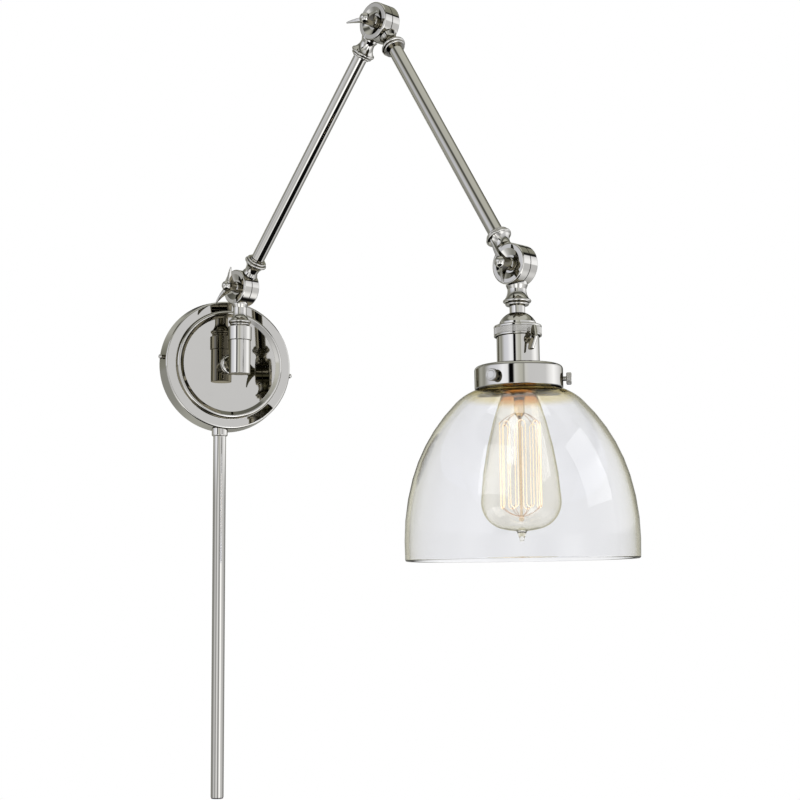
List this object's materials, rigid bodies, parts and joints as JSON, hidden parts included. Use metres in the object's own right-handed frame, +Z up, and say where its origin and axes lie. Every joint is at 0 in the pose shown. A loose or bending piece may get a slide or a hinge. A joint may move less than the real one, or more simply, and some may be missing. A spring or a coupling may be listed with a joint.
{
  "type": "swing arm wall lamp",
  "caption": "Nickel swing arm wall lamp: round wall plate with a swivel post, tube arms with clamped knuckles and wing nuts, keyed socket, clear glass dome shade and filament bulb.",
  "frame": {"origin": "centre of the wall plate's back, on the wall", "axes": "+Z up, +Y into the wall, +X to the right of someone who faces the lamp"},
  "size_m": [0.3047, 0.4727, 0.7263],
  "materials": {
    "polished_nickel": "polished nickel plate, mirror bright",
    "plated_steel": "zinc plated",
    "green_screw": "green dyed plating",
    "brass": "plain turned brass",
    "dark_bushing": "dull moulded",
    "friction_fibre": "dark fibre washer",
    "liner_fibre": "insulating card",
    "moulded_core": "moulded phenolic",
    "black_vitrite": "black glassy insulator",
    "clear_glass": "clear blown glass",
    "bulb_glass": "clear, faintly warm",
    "mount_glass": "clear drawn glass",
    "filament": "glowing wire",
    "support_wire": "copper-coloured wire"
  },
  "bodies": {
    "wall_mount": {"wall_plate": "polished_nickel", "mounting_bracket": "plated_steel", "plate_side_screws": "polished_nickel", "ground_screw": "green_screw", "stem_tube": "polished_nickel", "stem_washer": "plated_steel", "stem_locknut": "plated_steel", "swivel_barrel_lower": "polished_nickel", "swivel_barrel_plug": "polished_nickel", "cord_cover_collar": "polished_nickel", "cord_cover_locknut": "plated_steel", "cord_cover_tube": "polished_nickel", "cord_cover_bushing": "dark_bushing"},
    "swivel": {"swivel_barrel_upper": "polished_nickel", "swivel_spindle": "brass", "swivel_spring_washer": "plated_steel", "swivel_locknut": "brass", "swivel_stop_pin": "plated_steel", "lower_knuckle_front": "polished_nickel", "lower_knuckle_washer": "friction_fibre"},
    "lower_arm": {"lower_knuckle_back": "polished_nickel", "lower_knuckle_bolt": "polished_nickel", "lower_arm_tube": "polished_nickel", "elbow_knuckle_front": "polished_nickel", "elbow_knuckle_washer": "friction_fibre"},
    "upper_arm": {"elbow_knuckle_back": "polished_nickel", "elbow_knuckle_bolt": "polished_nickel", "upper_arm_tube": "polished_nickel", "head_knuckle_front": "polished_nickel", "head_knuckle_washer": "friction_fibre"},
    "head": {"head_knuckle_back": "polished_nickel", "head_knuckle_bolt": "polished_nickel", "head_nipple": "brass", "socket_cap": "polished_nickel", "socket_shell": "polished_nickel", "socket_liner": "liner_fibre", "socket_core": "moulded_core", "socket_screw_shell": "brass", "socket_contact": "brass", "switch_bushing": "polished_nickel", "shade_holder": "polished_nickel", "shade_holder_ring": "polished_nickel", "glass_shade": "clear_glass", "bulb_base": "brass", "bulb_insulator": "black_vitrite", "bulb_tip": "brass", "bulb_glass": "bulb_glass", "bulb_mount": "mount_glass", "bulb_filament": "filament", "bulb_supports": "support_wire"},
    "lower_clamp": {"lower_wing_nut": "polished_nickel"},
    "elbow_clamp": {"elbow_wing_nut": "polished_nickel"},
    "head_clamp": {"head_wing_nut": "polished_nickel"},
    "light_switch": {"switch_key": "polished_nickel"},
    "shade_screw_left": {"shade_screw_1": "polished_nickel"},
    "shade_screw_rear": {"shade_screw_2": "polished_nickel"},
    "shade_screw_right": {"shade_screw_3": "polished_nickel"}
  },
  "joints": [
    {"name": "base_swivel", "type": "hinge", "parent": "wall_mount", "child": "swivel", "pos_m": [0, -0.0584, 0], "axis": [0, 0, 1], "range_deg": [-102.4, 57.6]},
    {"name": "lower_knuckle", "type": "hinge", "parent": "swivel", "child": "lower_arm", "pos_m": [0.00148, -0.05779, 0.0706], "axis": [-0.9245, -0.3811, 0], "range_deg": [-48, 47]},
    {"name": "elbow", "type": "hinge", "parent": "lower_arm", "child": "upper_arm", "pos_m": [0.07731, -0.23336, 0.2826], "axis": [0.9245, 0.3811, 0], "range_deg": [-105, 20]},
    {"name": "head_knuckle", "type": "hinge", "parent": "upper_arm", "child": "head", "pos_m": [0.13936, -0.37552, 0.04289], "axis": [-0.9245, -0.3811, 0], "range_deg": [-60, 90]},
    {"name": "lower_wing_nut_turn", "type": "hinge", "parent": "swivel", "child": "lower_clamp", "pos_m": [0.00148, -0.05779, 0.0706], "axis": [-0.9245, -0.3811, 0], "range_deg": [0, 180]},
    {"name": "elbow_wing_nut_turn", "type": "hinge", "parent": "lower_arm", "child": "elbow_clamp", "pos_m": [0.07731, -0.23336, 0.2826], "axis": [-0.9245, -0.3811, 0], "range_deg": [0, 180]},
    {"name": "head_wing_nut_turn", "type": "hinge", "parent": "upper_arm", "child": "head_clamp", "pos_m": [0.13936, -0.37552, 0.04289], "axis": [-0.9245, -0.3811, 0], "range_deg": [0, 180]},
    {"name": "switch_key_turn", "type": "hinge", "parent": "head", "child": "light_switch", "pos_m": [0.14134, -0.37612, -0.0196], "axis": [0.0261, -0.9995, 0.0196], "continuous": true},
    {"name": "shade_screw_left_turn", "type": "hinge", "parent": "head", "child": "shade_screw_left", "pos_m": [0.14158, -0.37672, -0.05039], "axis": [-0.8481, -0.5299, 0.0035], "range_deg": [0, 180]},
    {"name": "shade_screw_rear_turn", "type": "hinge", "parent": "head", "child": "shade_screw_rear", "pos_m": [0.14158, -0.37672, -0.05039], "axis": [-0.0348, 0.9992, -0.0196], "range_deg": [0, 180]},
    {"name": "shade_screw_right_turn", "type": "hinge", "parent": "head", "child": "shade_screw_right", "pos_m": [0.14158, -0.37672, -0.05039], "axis": [0.8829, -0.4693, 0.0161], "range_deg": [0, 180]}
  ]
}
